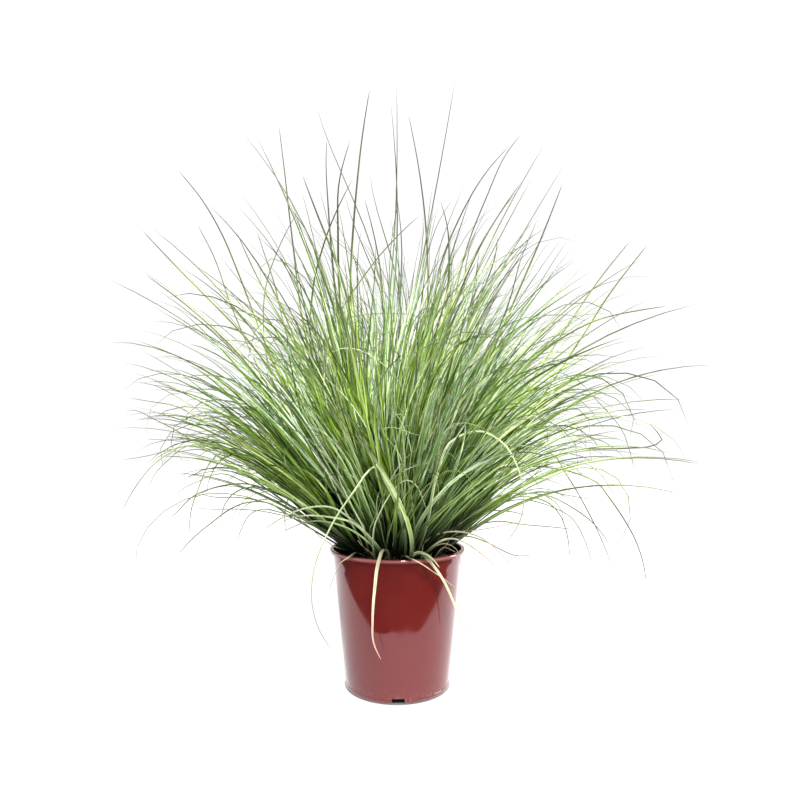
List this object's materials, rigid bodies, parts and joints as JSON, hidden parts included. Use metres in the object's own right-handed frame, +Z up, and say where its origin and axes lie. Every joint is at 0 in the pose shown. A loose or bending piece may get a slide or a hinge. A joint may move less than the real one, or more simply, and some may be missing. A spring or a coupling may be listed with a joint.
{
  "type": "potted ornamental grass clump",
  "caption": "Fountain of fine arching grass leaves growing from a crown of shoots in a round, tapered plastic nursery pot with a turned-down lip.",
  "frame": {"origin": "centre of the pot's foot, on the surface that it stands on", "axes": "+Z up along the pot's axis; -Y faces the viewer of the picture; +X is to the viewer's right"},
  "size_m": [0.6033, 0.6031, 0.7709],
  "materials": {
    "pot_plastic": "satin",
    "potting_soil": "matte",
    "leaf_yellow_green": "satin",
    "leaf_mid_green": "satin",
    "leaf_blue_green": "satin",
    "leaf_straw": "matte"
  },
  "bodies": {
    "root": {"pot": "pot_plastic", "potting_soil": "potting_soil", "tiller_01": "leaf_mid_green", "tiller_02": "leaf_blue_green", "tiller_03": "leaf_yellow_green", "tiller_04": "leaf_mid_green", "tiller_05": "leaf_blue_green", "tiller_06": "leaf_yellow_green", "tiller_07": "leaf_mid_green", "tiller_08": "leaf_blue_green", "tiller_09": "leaf_yellow_green", "tiller_10": "leaf_mid_green", "tiller_11": "leaf_blue_green", "tiller_12": "leaf_yellow_green", "tiller_13": "leaf_mid_green", "tiller_14": "leaf_blue_green", "tiller_15": "leaf_yellow_green", "tiller_16": "leaf_mid_green", "tiller_17": "leaf_blue_green", "tiller_18": "leaf_yellow_green", "tiller_19": "leaf_mid_green", "tiller_20": "leaf_blue_green", "tiller_21": "leaf_yellow_green", "tiller_22": "leaf_mid_green", "tiller_23": "leaf_blue_green", "tiller_24": "leaf_yellow_green", "tiller_25": "leaf_mid_green", "tiller_26": "leaf_blue_green", "tiller_27": "leaf_yellow_green", "tiller_28": "leaf_mid_green", "tiller_29": "leaf_blue_green", "tiller_30": "leaf_yellow_green", "tiller_31": "leaf_mid_green", "tiller_32": "leaf_blue_green", "tiller_33": "leaf_yellow_green", "tiller_34": "leaf_mid_green", "tiller_35": "leaf_blue_green", "tiller_36": "leaf_yellow_green", "tiller_37": "leaf_mid_green", "tiller_38": "leaf_blue_green", "tiller_39": "leaf_yellow_green", "tiller_40": "leaf_mid_green", "hanging_leaf_01": "leaf_straw", "hanging_leaf_02": "leaf_straw", "hanging_leaf_03": "leaf_straw", "hanging_leaf_04": "leaf_straw", "hanging_leaf_05": "leaf_straw", "hanging_leaf_06": "leaf_straw", "hanging_leaf_07": "leaf_straw", "hanging_leaf_08": "leaf_straw", "hanging_leaf_09": "leaf_straw"}
  },
  "joints": []
}
